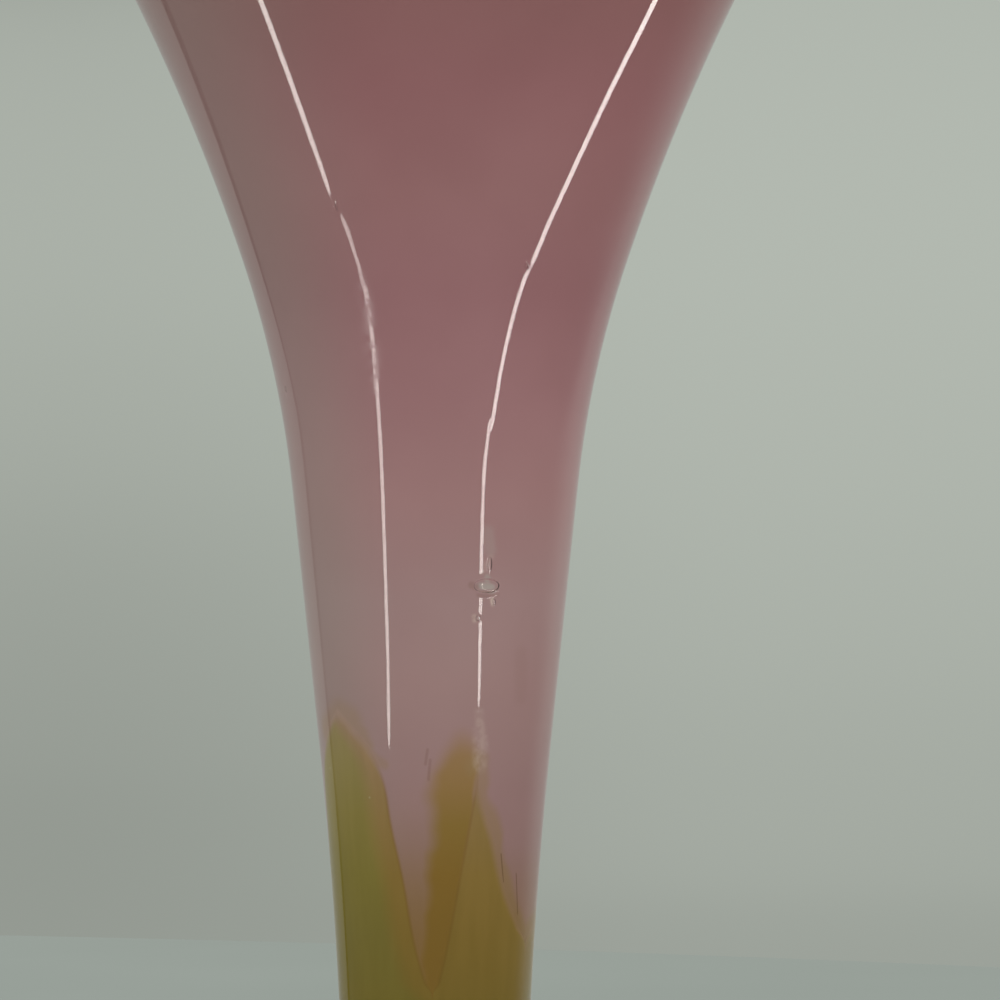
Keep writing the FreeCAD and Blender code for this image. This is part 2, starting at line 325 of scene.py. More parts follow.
# Thin bent light strips that the glass mirrors, at a reach from the axis. Each bend gives the
# turn and the height, and how far the strip spreads to each side in turn and in height.
strips = {
    "leftBar": {"strength": 11.0, "reach": 0.4, "bends": [
        (-80, 0.0085, -1.1, 0.0032), (-77.1, 0.009, -1.1, 0.0031), (-73.6, 0.0078, -1.1, 0.0029),
        (-69.9, 0.0071, -1.1, 0.0027), (-65.8, 0.0063, -1.1, 0.0024),
        (-61.8, 0.0055, -1.0, 0.0019), (-60.6, 0.0055, -0.6, 0.001)]},
    "leftCorner": {"strength": 7.0, "reach": 0.4, "bends": [
        (-56.4, 0.0022, -0.6, 0.001), (-54, 0.0008, -1.1, 0.0017), (-51.1, 0.001, -1.0, 0.0014),
        (-48.8, 0.0038, -1.1, 0.0012), (-47.7, 0.011, -1.1, 0.0011), (-47.2, 0.017, -1.1, 0.0011)]},
    "leftUpright": {"strength": 8.5, "reach": 0.25, "bends": [
        (-44.8, 0.0975, -1.4, 0.0007), (-43.7, 0.103, -1.4, 0.0007), (-42.8, 0.1093, -1.4, 0.0006),
        (-42, 0.1157, -1.4, 0.0005), (-41.6, 0.1231, -1.4, 0.0004), (-41.2, 0.13, -1.4, 0.0003),
        (-41, 0.136, -1.4, 0.0003), (-40.7, 0.145, -1.4, 0.0003), (-40.5, 0.153, -1.4, 0.0003)]},
    "rightBar": {"strength": 13.0, "reach": 1.3, "bends": [
        (108, -0.392, 1.1, 0.0128), (104.2, -0.398, 1.1, 0.0128), (98.9, -0.417, 1.1, 0.0118),
        (92.4, -0.4393, 1.2, 0.011), (85.6, -0.4537, 1.3, 0.0104), (77.4, -0.4679, 1.3, 0.0094),
        (70.1, -0.479, 1.4, 0.0084), (62.5, -0.4653, 1.4, 0.0074), (58.6, -0.4254, 1.4, 0.0064),
        (55.2, -0.3803, 1.4, 0.0052), (51.7, -0.3234, 1.3, 0.004), (49.2, -0.2752, 1.4, 0.0036),
        (47.2, -0.2261, 1.4, 0.0032), (45.3, -0.1872, 1.4, 0.0028), (44.2, -0.165, 1.2, 0.002)]},
    "rightUpright": {"strength": 10.5, "reach": 0.6, "bends": [
        (42.8, 0.023, 1.4, 0.0006), (41.9, 0.034, 1.4, 0.0008), (41.2, 0.044, 1.4, 0.0008),
        (40.2, 0.056, 1.4, 0.0008), (39.6, 0.0665, 1.4, 0.0008), (39.5, 0.072, 1.4, 0.0006),
        (39.6, 0.078, 1.2, 0.0005)]},
}


def makeStrip(name, about):
    shape = bmesh.new()
    reach = about["reach"]
    before = None
    for turn, height, spread, lift in about["bends"]:
        ends = []
        for side in (-1, 1):
            angle = math.radians(turn + side * spread)
            ends.append(shape.verts.new((reach * math.sin(angle), -reach * math.cos(angle),
                                         height + side * lift)))
        edge = shape.edges.new(ends)
        if before:
            bmesh.ops.bridge_loops(shape, edges=[before, edge])
        before = edge
    made = addObject(name, shape)
    smooth = made.modifiers.new("smooth", "SUBSURF")
    smooth.levels = smooth.render_levels = 2
    material = bpy.data.materials.new(name + "Glow")
    material.use_nodes = True
    tree = material.node_tree
    tree.nodes.clear()
    glow = put(tree, "ShaderNodeEmission", {"Color": screenColour(*studio["stripColour"]),
                                            "Strength": about["strength"]})
    put(tree, "ShaderNodeOutputMaterial", {"Surface": glow.outputs[0]})
    made.data.materials.append(material)
    made.visible_camera = False
    made.visible_transmission = False
    passLight(made)


for name, about in strips.items():
    makeStrip(name, about)

floor = {
    "radius": 1.69,
    "centre": (-0.687, 0.161),   # off the axis, so that the far edge slants as in the picture
    "colour": (152, 160, 153),
    "mottle": 4,                 # how much darker and lighter it gets
    "mottleScale": 3.0,
}


def makeFloor():
    shape = bmesh.new()
    bmesh.ops.create_circle(shape, cap_ends=True, segments=256, radius=floor["radius"])
    bmesh.ops.translate(shape, verts=shape.verts, vec=(*floor["centre"], 0))
    made = addObject("floor", shape)
    made.visible_glossy = False
    material, tree, shader = newMaterial("paleTable")
    place = put(tree, "ShaderNodeTexCoord").outputs["Object"]
    darker, lighter = (screenColour(*[part + change for part in floor["colour"]])
                       for change in (-floor["mottle"], floor["mottle"]))
    colour = blendColours(tree, noise(tree, place, floor["mottleScale"], 3.0), darker, lighter)
    makeMatt(tree, shader, colour, 0.8)
    made.data.materials.append(material)


makeFloor()
print("studio ready")

wall = {
    "stemBase": (0.0301, 0.0149, -2.38),       # height, outer radius and lean of the wall
    "waist": (0.0881, 0.01425, 1.0974),
    "stations": [(0.064024, 6.0002), (0.104092, 6.0002), (0.139072, 18.4994),
                 (0.180412, 26.1956), (0.212, 41.2338)],   # rise above the waist, and lean
    "lip": 0.004,
    "casing": 0.0022,       # how deep under the outer surface the casing ends,
    "leafCover": 0.0014,    # the leaves' outer faces lie
    "whole": 0.0038,        # and the wall ends
    "seam": 0.0001,         # how far a clear layer runs into the one that it is fused to
}


def bend(start, startLean, rise, endLean, steps):
    # Points up a wall that turns steadily from one lean to the next
    startLean, endLean = math.radians(startLean), math.radians(endLean)
    radius, height = start
    points = []
    for step in range(1, steps + 1):
        if abs(endLean - startLean) < tiny:
            up = rise * step / steps
            points.append((radius + up * math.tan(startLean), height + up))
            continue
        curve = rise / (math.sin(endLean) - math.sin(startLean))
        lean = startLean + (endLean - startLean) * step / steps
        points.append((radius + curve * (math.cos(startLean) - math.cos(lean)),
                       height + curve * (math.sin(lean) - math.sin(startLean))))
    return points


def stemLine(steps=20):
    height, radius, lean = wall["stemBase"]
    return [(radius, height)] + bend((radius, height), lean, wall["waist"][0] - height,
                                     wall["waist"][2], steps)


def flareLine(steps=18):
    height, radius, lean = wall["waist"]
    points = [(radius, height)]
    before = 0.0
    for rise, nextLean in wall["stations"]:
        points += bend(points[-1], lean, rise - before, nextLean, steps)
        before, lean = rise, nextLean
    return points


def inwards(points, depth):
    return [(radius - depth, height) for radius, height in points]


outerStem = stemLine()
outerFlare = flareLine()
lipLean = math.radians(wall["stations"][-1][1])
endRadius, endHeight = outerFlare[-1]
mouth = endHeight + wall["lip"]
lipCorner = endRadius + wall["lip"] * math.tan(lipLean)
crest = (lipCorner - wall["casing"], mouth)
wallRadii, wallHeights = np.array(outerStem + outerFlare[1:]).T


def radiusAt(height):
    return float(np.interp(height, wallHeights, wallRadii))


def leanAt(height, step=0.001):
    return math.atan((radiusAt(height + step) - radiusAt(height - step)) / (2 * step))


def onWall(turn, height, depth=0.0):
    # A place in the wall, that deep under its outer surface
    radius = radiusAt(height) - depth
    angle = math.radians(turn)
    return Vector((radius * math.sin(angle), -radius * math.cos(angle), height))


def lipArc(side, depth, steps=8):
    # The rounding from the wall to the crest: side 1 outside, -1 inside, over a layer's depth
    size = depth * math.tan((math.pi / 2 - side * lipLean) / 2)
    start = math.pi / 2
    end = -lipLean if side > 0 else math.pi - lipLean
    return [(crest[0] + size * math.cos(start + (end - start) * step / steps),
             crest[1] - size + size * math.sin(start + (end - start) * step / steps))
            for step in range(steps + 1)]


def spinOutline(shape, outline, closed=True, steps=192):
    # One outline in the plane through the axis, spun all the way round
    points = [shape.verts.new((radius, 0, height)) for radius, height in outline]
    edges = [shape.edges.new(pair) for pair in zip(points, points[1:])]
    if closed:
        edges.append(shape.edges.new((points[-1], points[0])))
    bmesh.ops.spin(shape, geom=points + edges, cent=(0, 0, 0), axis=(0, 0, 1),
                   angle=math.tau, steps=steps, use_merge=True, use_duplicate=False)
    bmesh.ops.remove_doubles(shape, verts=shape.verts, dist=tiny)
    bmesh.ops.recalc_face_normals(shape, faces=shape.faces)


crispCorner = math.radians(60)


def finishPiece(name, shape):
    for face in shape.faces:
        face.smooth = True
    for edge in shape.edges:
        edge.smooth = edge.calc_face_angle(0.0) < crispCorner
    return addObject(name, shape)


strokeEdge = (1.3, 0.3)     # where a stroke's fade starts and ends, in half widths


def makeStrokeGroup():
    # A thin straight stroke on the wall, between two places given by turn and height
    tree, given, result = newGroup(
        "strokeOnWall", (), ("turn", "height", "startTurn", "startHeight", "endTurn", "endHeight",
                             "degreeLength", "halfWidth"), "mask")

    def fromStart(turn, height):
        across = times(tree, minus(tree, turn, given["startTurn"]), given["degreeLength"])
        return across, minus(tree, height, given["startHeight"])

    alongX, alongY = fromStart(given["endTurn"], given["endHeight"])
    awayX, awayY = fromStart(given["turn"], given["height"])
    square = plus(tree, times(tree, alongX, alongX), times(tree, alongY, alongY))
    dot = plus(tree, times(tree, alongX, awayX), times(tree, alongY, awayY))
    share = calc(tree, "DIVIDE", dot, square, clamp=True)
    offX = minus(tree, awayX, times(tree, alongX, share))
    offY = minus(tree, awayY, times(tree, alongY, share))
    away = calc(tree, "DIVIDE", lengthOf(tree, offX, offY), given["halfWidth"])
    tree.links.new(fade(tree, away, *strokeEdge), result)
    return tree


strokeGroup = makeStrokeGroup()


def strokes(tree, turn, height, table):
    # The strongest of a table's strokes: start, end, half width and weight of each
    total = None
    for startTurn, startHeight, endTurn, endHeight, halfWidth, weight in table:
        made = put(tree, "ShaderNodeGroup", {
            "turn": turn, "height": height, "startTurn": startTurn, "startHeight": startHeight,
            "endTurn": endTurn, "endHeight": endHeight, "halfWidth": halfWidth,
            "degreeLength": radiusAt(startHeight) * math.pi / 180}, node_tree=strokeGroup)
        mask = times(tree, made.outputs["mask"], weight)
        total = mask if total is None else calc(tree, "MAXIMUM", total, mask)
    return total


fibres = {
    "upward": 70.0,         # how short they are
    "waviness": 0.3,
    "contrast": (0.32, 0.7),
    "tint": (249, 249, 245),
    "fineness": 0.13,       # how close they stand, round the vase
}


def makeFibreGroup():
    # The soft long fibres that pulling leaves in green glass
    tree, given, result = newGroup("pulledFibres", (), ("turn", "height", "fineness", "twist"),
                                   "mask")
    turned = plus(tree, given["turn"], times(tree, given["height"], given["twist"]))
    around = calc(tree, "RADIANS", turned)
    # A circle as wide as the fibres are fine, so that no seam shows at the back
    size = times(tree, given["fineness"], degreesPerRadian)
    line = placeOf(tree, times(tree, calc(tree, "SINE", around), size),
                   times(tree, calc(tree, "COSINE", around), size),
                   times(tree, given["height"], fibres["upward"]))
    grain = noise(tree, line, 1.0, 3.0, fibres["waviness"])
    tree.links.new(fade(tree, grain, *fibres["contrast"]), result)
    return tree


fibreGroup = makeFibreGroup()


def pulledFibres(tree, turn, height, fineness, twist=0.0):
    made = put(tree, "ShaderNodeGroup", {"turn": turn, "height": height, "fineness": fineness,
                                         "twist": twist}, node_tree=fibreGroup)
    return made.outputs["mask"]


def addFibres(tree, colour, turn, height):
    mask = pulledFibres(tree, turn, height, fibres["fineness"])
    return tinted(tree, mask, colour, fibres["tint"])


leafGlass = {
    "green": [(0.088, (118, 106, 44)), (0.1132, (124, 110, 47)), (0.1226, (128, 115, 53)),
              (0.132, (135, 122, 57)), (0.1414, (145, 130, 69)), (0.15, (153, 137, 85)),
              (0.16, (160, 140, 100))],
    "amber": [(0.088, (121, 103, 43)), (0.1132, (130, 107, 46)), (0.1226, (138, 112, 51)),
              (0.132, (146, 118, 59)), (0.1414, (154, 125, 76)), (0.15, (163, 133, 96)),
              (0.16, (164, 137, 116))],
    "amberEdge": 0.3,       # the share of the amber's reach that is amber throughout
    "thickness": 0.00075,
    "edge": 0.00003,        # how thick a leaf still is at its edge
    "taper": 0.002,         # and how far in from there it is fully thick
    "grid": (28, 110),      # faces across a leaf and up it
    "crowding": 1.6,        # how much closer the rows get towards the tip,
    "lastRow": 0.9999,      # and how near to it the last one is
    "massAbove": 0.002,     # from here above a notch down, the leaves start to be one mass,
    "massGain": 0.6,        # and the edges count as this much further away per metre down
    "seedScale": 520.0,
    "seedFades": ((0.14, 0.06), (0.95, 0.96)),  # each one's edge, and how rare
    "seedWeight": 0.4,
    "seedColour": (190, 180, 140),
    "clearMelt": 0.001,     # edges that melt over no more than this have a thin brownish line
    "lineFades": ((0.0, 0.00035), (0.0009, 0.0004)),
    "lineTint": (242, 232, 224),
    "tipReach": (0.004, 0.014),     # how far from the tip its edges stop being softer
}

lining = {
    "colours": [(0.088, (140, 112, 80)), (0.113, (150, 118, 90)), (0.1226, (156, 123, 100)),
                (0.1305, (161, 129, 115)), (0.1367, (168, 135, 130)), (0.143, (171, 137, 134)),
                (0.15, (174, 140, 137)), (0.162, (179, 144, 141)), (0.1744, (183, 149, 147)),
                (0.19, (184, 142, 141)), (0.206, (181, 134, 136)), (0.2215, (177, 127, 130)),
                (0.237, (177, 127, 128)), (0.253, (174, 121, 123)), (0.2655, (168, 117, 117)),
                (0.3042, (161, 108, 108))],
    "rosyTint": (248, 244, 244),    # towards the right side, by turn
    "rosyFades": ((15, 60), (175, 95)),
    "paleTint": (246, 243, 243),    # in soft clouds
    "cloudScale": 26.0,
    "cloudEdge": (0.35, 0.7),
    "leftShade": (154, 145, 136),       # painted shade and grey reflection on the left side
    "leftShadeShare": 0.42,
    "leftShadeFades": ((-10, -62), (-175, -95)),
    # Painted leaf shadow, a brown shade beside the leaves: its colour, where it ends on the left
    # by height and at the top by turn, and the fades there and at its right end
    "leafShadow": [(0.088, (122, 94, 40)), (0.1242, (135, 104, 43)), (0.132, (140, 108, 46)),
              (0.1399, (146, 116, 56)), (0.1461, (158, 124, 76)), (0.156, (168, 132, 98))],
    "leafShadowSide": [(0.11, -13.5), (0.1195, -11.6), (0.1242, -9.8), (0.132, -6.0),
                  (0.1399, -2.8), (0.1461, -2.6), (0.15, 2.0), (0.156, 12.0)],
    "leafShadowTop": [(-10, 0.144), (-6, 0.1462), (0, 0.149), (6, 0.1514), (12, 0.153),
                 (18, 0.153), (24, 0.151)],
    "leafShadowFades": ((-8, 8), (-0.003, 0.003), (26.5, 21.5)),
    "wobbleScale": 160.0,
    "wobble": (0.3, 0.7, -2.0, 2.0),
    # The same painted brown shade low between the front leaves: by height, and by turn on its two
    # sides
    "shadowWedgeFades": ((0.15, 0.114, 0.0, 0.75), (25, 5), (-60, -40)),
    # pale scuffs, and painted glints round the blister
    "scuffAndGlint": (214, 190, 176),
    "scratchScale": 900.0,
    "scratches": (0.35, 0.65, 0.3, 1.0),
    "blisterGrey": (196, 202, 188),
    # dark hairlines, and painted shade at the blister's edges
    "hairlineAndShadeTint": (196, 180, 160),
    "roughInside": 0.08,
    "opalDepth": 0.002,
    "opalWeight": 0.2,
    "opalRadius": (1.0, 0.5, 0.45),
    "ringStretch": (0.4, 0.4, 3.0),     # faint rings that the opening of the mouth left inside
    "ringScale": 60.0,
    "ringDepth": 0.00004,
}
# Where the leaves' edges and tips melt into the rose glass: start, end, half width and weight
leafHalo = [
    (-72, 0.1548, -58, 0.1572, 0.0026, 0.55), (-58, 0.1572, -46, 0.1562, 0.0026, 0.55),
    (-46, 0.156, -36, 0.152, 0.0016, 0.5), (-36, 0.152, -29.7, 0.1493, 0.001, 0.35),
    (20, 0.149, 24.8, 0.15, 0.0018, 0.5), (24.8, 0.15, 29.9, 0.143, 0.0016, 0.5),
    (29.9, 0.143, 37.3, 0.1378, 0.0018, 0.5), (37.3, 0.1378, 44.8, 0.1315, 0.002, 0.5),
    (44.8, 0.1315, 57.7, 0.1252, 0.002, 0.5), (57.7, 0.1252, 72, 0.1218, 0.0022, 0.55),
    (72, 0.1218, 88, 0.124, 0.0024, 0.55)]
# Pale scuffs with painted glints round a blister, the painted greyer light that a blister throws,
# and dark hairlines with painted shade at the blister's edges
scuffsAndGlints = [
    (24, 0.1572, 25, 0.1545, 0.001, 0.3), (24.5, 0.154, 25.5, 0.1492, 0.0014, 0.34),
    (28, 0.1535, 29.5, 0.1515, 0.0006, 0.22), (22.3, 0.179, 26.4, 0.1813, 0.0005, 0.45),
    (27.9, 0.1748, 28.2, 0.1741, 0.0004, 0.8), (19.2, 0.1722, 19.4, 0.1716, 0.0005, 0.5)]
greyMarks = [
    (22.6, 0.1769, 28, 0.1766, 0.0008, 0.36), (25, 0.1782, 26, 0.177, 0.0006, 0.25),
    (24.4, 0.1852, 25.8, 0.1824, 0.0013, 0.13)]
hairlinesAndShade = [
    (47, 0.166, 49, 0.16, 0.0019, 0.09), (-3.4, 0.1516, -4.6, 0.1494, 0.0003, 0.3),
    (-2, 0.15, -3, 0.147, 0.0003, 0.3), (42.6, 0.1352, 45.6, 0.1309, 0.00016, 0.7),
    (56.5, 0.132, 60.5, 0.1257, 0.00016, 0.7), (17.4, 0.1771, 20, 0.1768, 0.0006, 0.3),
    (21, 0.1756, 30.5, 0.1756, 0.0004, 0.25)]


def roseByHeight(tree, place, turn, height):
    colour = colourByHeight(tree, height, lining["colours"])
    rightward = fadeAll(tree, (turn, turn), lining["rosyFades"])
    colour = tinted(tree, rightward, colour, lining["rosyTint"])
    clouds = fade(tree, noise(tree, place, lining["cloudScale"], 3.0), *lining["cloudEdge"])
    return tinted(tree, clouds, colour, lining["paleTint"])


def makeRoseGroup():
    # The rose glass as it looks from outside, with the leaves' amber melting into it, and painted
    # leaf shadow, shade and glints
    tree, given, result = newGroup("roseGlassColour", ("place",), ("turn", "height"), "colour",
                                   "NodeSocketColor")
    place, turn, height = given["place"], given["turn"], given["height"]
    colour = roseByHeight(tree, place, turn, height)
    # Painted shade and grey reflection on the left side
    leftward = times(tree, fadeAll(tree, (turn, turn), lining["leftShadeFades"]),
                     lining["leftShadeShare"])
    colour = blendColours(tree, leftward, colour, screenColour(*lining["leftShade"]))
    # Painted leaf shadow: a brown shade between the leaves
    leafShadow = colourByHeight(tree, height, lining["leafShadow"])
    wander = noise(tree, place, lining["wobbleScale"], 1.0)
    wobbled = plus(tree, turn, fade(tree, wander, *lining["wobble"]))
    side = minus(tree, wobbled, curveOf(tree, height, lining["leafShadowSide"]))
    under = minus(tree, curveOf(tree, turn, lining["leafShadowTop"]), height)
    share = fadeAll(tree, (side, under, wobbled), lining["leafShadowFades"])
    shadowWedge = fadeAll(tree, (height, turn, turn), lining["shadowWedgeFades"])
    colour = blendColours(tree, calc(tree, "MAXIMUM", share, shadowWedge), colour, leafShadow)
    colour = blendColours(tree, strokes(tree, wobbled, height, leafHalo), colour,
                          colourByHeight(tree, height, leafGlass["amber"]))
    scratches = fade(tree, noise(tree, place, lining["scratchScale"], 3.0), *lining["scratches"])
    # Pale scuffs, and painted glints round the blister
    pale = times(tree, strokes(tree, turn, height, scuffsAndGlints), scratches)
    colour = blendColours(tree, pale, colour, screenColour(*lining["scuffAndGlint"]))
    colour = blendColours(tree, strokes(tree, turn, height, greyMarks), colour,
                          screenColour(*lining["blisterGrey"]))
    # Dark hairlines, and painted shade at the blister's edges
    colour = tinted(tree, strokes(tree, turn, height, hairlinesAndShade), colour, lining["hairlineAndShadeTint"])
    tree.links.new(colour, result)
    return tree


roseGroup = makeRoseGroup()


def roseColour(tree, place, turn, height):
    made = put(tree, "ShaderNodeGroup", {"place": place, "turn": turn, "height": height},
               node_tree=roseGroup)
    return made.outputs["colour"]


def makeLining():
    outside = inwards(outerFlare, wall["casing"])
    inside = inwards(outerFlare, wall["whole"])
    waist = wall["waist"][0]
    quarter = [math.radians(angle) for angle in range(-90, 0, 6)]

    def cup(radius):
        points = [(radius * math.cos(angle), waist + radius * math.sin(angle)) for angle in quarter]
        points[0] = (0.0, points[0][1])
        return points

    innerLip = lipArc(-1, wall["whole"] - wall["casing"])
    shape = bmesh.new()
    spinOutline(shape, cup(outside[0][0]) + outside + innerLip + inside[::-1]
                + cup(inside[0][0])[::-1], closed=False)
    return finishPiece("roseLining", shape)


def fusedMaterial():
    material, tree, shader = newMaterial("roseGlassFused")
    makeMatt(tree, shader, roseColour(tree, *placeOn(tree)))
    return material


def insideMaterial():
    material, tree, shader = newMaterial("roseGlassInside")
    place, turn, height = placeOn(tree)
    feed(tree, shader, {
        "Base Color": roseByHeight(tree, place, turn, height), "Roughness": lining["roughInside"],
        "Subsurface Weight": lining["opalWeight"], "Subsurface Radius": lining["opalRadius"],
        "Subsurface Scale": lining["opalDepth"]})
    rings = put(tree, "ShaderNodeMapping", {"Vector": place, "Scale": lining["ringStretch"]})
    addBump(tree, shader, noise(tree, rings.outputs[0], lining["ringScale"]), lining["ringDepth"])
    return material


roseLining = makeLining()
roseLining.data.materials.append(fusedMaterial())
roseLining.data.materials.append(insideMaterial())
for face in roseLining.data.polygons:
    centre, normal = face.center, face.normal
    facesAxis = centre.x * normal.x + centre.y * normal.y < 0
    wellFloor = centre.z < wall["waist"][0] and normal.z > 0
    face.material_index = int(facesAxis or wellFloor)
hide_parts("rose_lining")
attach(roseLining, "root")
print("lining ready")

casing = {
    "ior": 1.5,
    "tint": (255, 255, 255),
    "clearness": 1.0,
    "roughness": 0.02,
    "waveHeight": 0.000008,
    "waveScale": 60.0,
    "waveStretch": (1.0, 1.0, 0.35),
    # The skin's rise over a blister: its share of the half width, how much its sizes count, and
    # from where to where it fades out
    "lumpRise": 0.12,
    "lumpScale": 0.8,
    "lumpEdge": (0.4, 1.5),
    "hazePlace": (-21.8, 0.215),    # where the fire polish is duller
    "hazeSize": (6.0, 0.0105),
    "hazeEdge": (1.2, 0.5),
    "hazeGrain": 700.0,
    "hazeRoughness": (0.35, 0.65, 0.02, 0.16),
}
# Seeds and blisters in the clear glass: turn, height, depth, and half sizes across, up and in
bubbles = [
    (23.8, 0.1769, 0.0009, 0.0021, 0.0011, 0.00034),
    (24.6, 0.1802, 0.0007, 0.0004, 0.0011, 0.00022),
    (27.5, 0.1744, 0.0007, 0.00026, 0.0005, 0.00022),
    (20, 0.1719, 0.0006, 0.00035, 0.0004, 0.00022),
    (29.3, 0.226, 0.0008, 0.0003, 0.0004, 0.00025),
    (-27.2, 0.2352, 0.0008, 0.0002, 0.001, 0.0002),
    (-71, 0.2075, 0.001, 0.0003, 0.0005, 0.00025),
    (96, 0.193, 0.0009, 0.0004, 0.0012, 0.0003),
    (158, 0.241, 0.001, 0.00035, 0.0006, 0.0003),
    (-140, 0.165, 0.0008, 0.0003, 0.0011, 0.00025),
    (128, 0.07, 0.0007, 0.0003, 0.001, 0.00025),
    (-36, 0.056, 0.0007, 0.00025, 0.0007, 0.00022),
]


def makeCasing():
    depth = wall["casing"] + wall["seam"]
    shape = bmesh.new()
    spinOutline(shape, outerStem + outerFlare[1:] + lipArc(1, wall["casing"])[::-1]
                + inwards(outerFlare, depth)[::-1]
                + inwards(outerStem, wall["leafCover"] + wall["seam"])[::-1])
    for turn, height, under, across, upward, inward in bubbles:
        place = (Matrix.Translation(onWall(turn, height, under))
                 @ Matrix.Rotation(math.radians(turn), 4, "Z")
                 @ Matrix.Rotation(leanAt(height), 4, "X")
                 @ Matrix.Diagonal((across, inward, upward, 1.0)))
        hollow = bmesh.ops.create_icosphere(shape, subdivisions=3, radius=1.0, matrix=place)
        faces = {face for point in hollow["verts"] for face in point.link_faces}
        bmesh.ops.reverse_faces(shape, faces=list(faces))
    return finishPiece("clearCasing", shape)


def clearGlass(name, about):
    material, tree, shader = newMaterial(name)
    feed(tree, shader, {"Base Color": screenColour(*about["tint"]), "IOR": casing["ior"],
                        "Transmission Weight": about["clearness"], "Roughness": about["roughness"]})
    return material, tree, shader


def lumpOver(tree, place, bubble):
    turn, height = bubble[:2]
    across, upward = bubble[3:5]
    size = casing["lumpScale"]
    away = vectorCalc(tree, "SUBTRACT", place, onWall(turn, height))
    sizes = vectorCalc(tree, "MULTIPLY", away, (size / across, size / across, size / upward))
    return fade(tree, vectorCalc(tree, "LENGTH", sizes), *casing["lumpEdge"],
                casing["lumpRise"] * across, 0.0)


def casingMaterial():
    material, tree, shader = clearGlass("clearGather", casing)
    place, turn, height = placeOn(tree)
    stretched = put(tree, "ShaderNodeMapping", {"Vector": place, "Scale": casing["waveStretch"]})
    waves = noise(tree, stretched.outputs[0], casing["waveScale"], 1.0)
    relief = times(tree, waves, casing["waveHeight"])
    for bubble in bubbles:
        relief = plus(tree, relief, lumpOver(tree, place, bubble))
    addBump(tree, shader, relief)
    # How far from the middle of the duller patch, in its half sizes
    parts = [calc(tree, "DIVIDE", minus(tree, value, middle), size) for value, middle, size
             in zip((turn, height), casing["hazePlace"], casing["hazeSize"])]
    haze = fade(tree, lengthOf(tree, *parts), *casing["hazeEdge"])
    grain = fade(tree, noise(tree, place, casing["hazeGrain"]), *casing["hazeRoughness"])
    feed(tree, shader, {"Roughness": plus(tree, times(tree, haze, grain), casing["roughness"])})
    return material


clearCasing = makeCasing()
clearCasing.data.materials.append(casingMaterial())
passLight(clearCasing)
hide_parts("clear_casing")
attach(clearCasing, "root")
print("casing ready")

# A leaf's edges, from its tip to the notch beside it: shares of the turn and of the drop
fullEdge = [(0, 0), (0.36, 0.17), (0.58, 0.5), (0.84, 0.86), (1, 1)]
straightEdge = [(0, 0), (0.18, 0.22), (0.54, 0.62), (0.8, 0.86), (1, 1)]
hollowEdge = [(0, 0), (0.13, 0.22), (0.30, 0.58), (0.62, 0.82), (1, 1)]
longEdge = [(0, 0), (0.42, 0.149), (0.592, 0.371), (0.724, 0.602), (0.831, 0.813), (1, 1)]
softEdge = [(0, 0), (0.113, 0.243), (0.278, 0.424), (0.444, 0.642), (0.731, 0.861), (1, 1)]
# Each leaf: the CAD node it stands for; its tip and the notches beside it, by turn and by share
# of the flare's rise; how much softer its edges get at the tip; how far in from its left edge,
# right edge and tip it melts into the rose glass; how amber both edges are, and how far in
leaves = {
    "leafFrontLeft": {
        "node": "leaf_front_left", "tip": (-58, 0.33), "softTip": 3.2,
        "left": (-112, 0.16, fullEdge), "right": (-1.1, 0.118, longEdge),
        "melt": (0.001, 0.0007, 0.003), "amber": (0.0, 1.0), "amberReach": 0.0055},
    "leafFrontRight": {
        "node": "leaf_front_right", "tip": (24.8, 0.292), "softTip": 1.0,
        "left": (-1.1, 0.118, straightEdge), "right": (69.8, 0.156, softEdge),
        "melt": (0.0006, 0.002, 0.0022), "amber": (1.0, 1.0), "amberReach": 0.03},
    "leafSideRight": {
        "node": "leaf_side_right", "tip": (101.2, 0.193), "softTip": 1.5,
        "left": (69.8, 0.156, fullEdge), "right": (131, 0.127, straightEdge),
        "melt": (0.0026, 0.001, 0.004), "amber": (1.0, 0.6), "amberReach": 0.012},
    "leafBack": {
        "node": "leaf_back", "tip": (163.1, 0.311), "softTip": 2.0,
        "left": (131, 0.127, straightEdge), "right": (190.1, 0.142, fullEdge),
        "melt": (0.0008, 0.002, 0.004), "amber": (0.8, 0.3), "amberReach": 0.006},
    "leafSideLeft": {
        "node": "leaf_side_left", "tip": (212, 0.255), "softTip": 2.0,
        "left": (190.1, 0.142, hollowEdge), "right": (248, 0.16, fullEdge),
        "melt": (0.002, 0.0009, 0.004), "amber": (0.4, 1.0), "amberReach": 0.006},
}


def smoothEdge(tip, notch, shares, samples=60, weights=(math.pi / 180, 1000)):
    # A smooth line through the edge's points, whose turns and heights weigh alike
    places = np.array([(tip[0] + across * (notch[0] - tip[0]), tip[1] + down * (notch[1] - tip[1]))
                       for across, down in shares])
    changes = np.diff(places, axis=0)
    gaps = np.hypot(*(changes * weights).T)
    rises = changes / gaps[:, None]
    count = len(places)
    matrix = np.zeros((count, count))
    matrix[0, 0] = matrix[-1, -1] = 1
    sides = np.zeros((count, 2))
    for k in range(1, count - 1):
        matrix[k, k - 1:k + 2] = gaps[k - 1], 2 * (gaps[k - 1] + gaps[k]), gaps[k]
        sides[k] = 6 * (rises[k] - rises[k - 1])
    bends = np.linalg.solve(matrix, sides)
    line = []
    for k in range(count - 1):
        slope = rises[k] - gaps[k] * (2 * bends[k] + bends[k + 1]) / 6
        twist = (bends[k + 1] - bends[k]) / (6 * gaps[k])
        for step in range(samples):
            t = gaps[k] * step / samples
            line.append(places[k] + t * slope + t ** 2 * bends[k] / 2 + t ** 3 * twist)
    line.append(places[-1])
    return np.array(line)


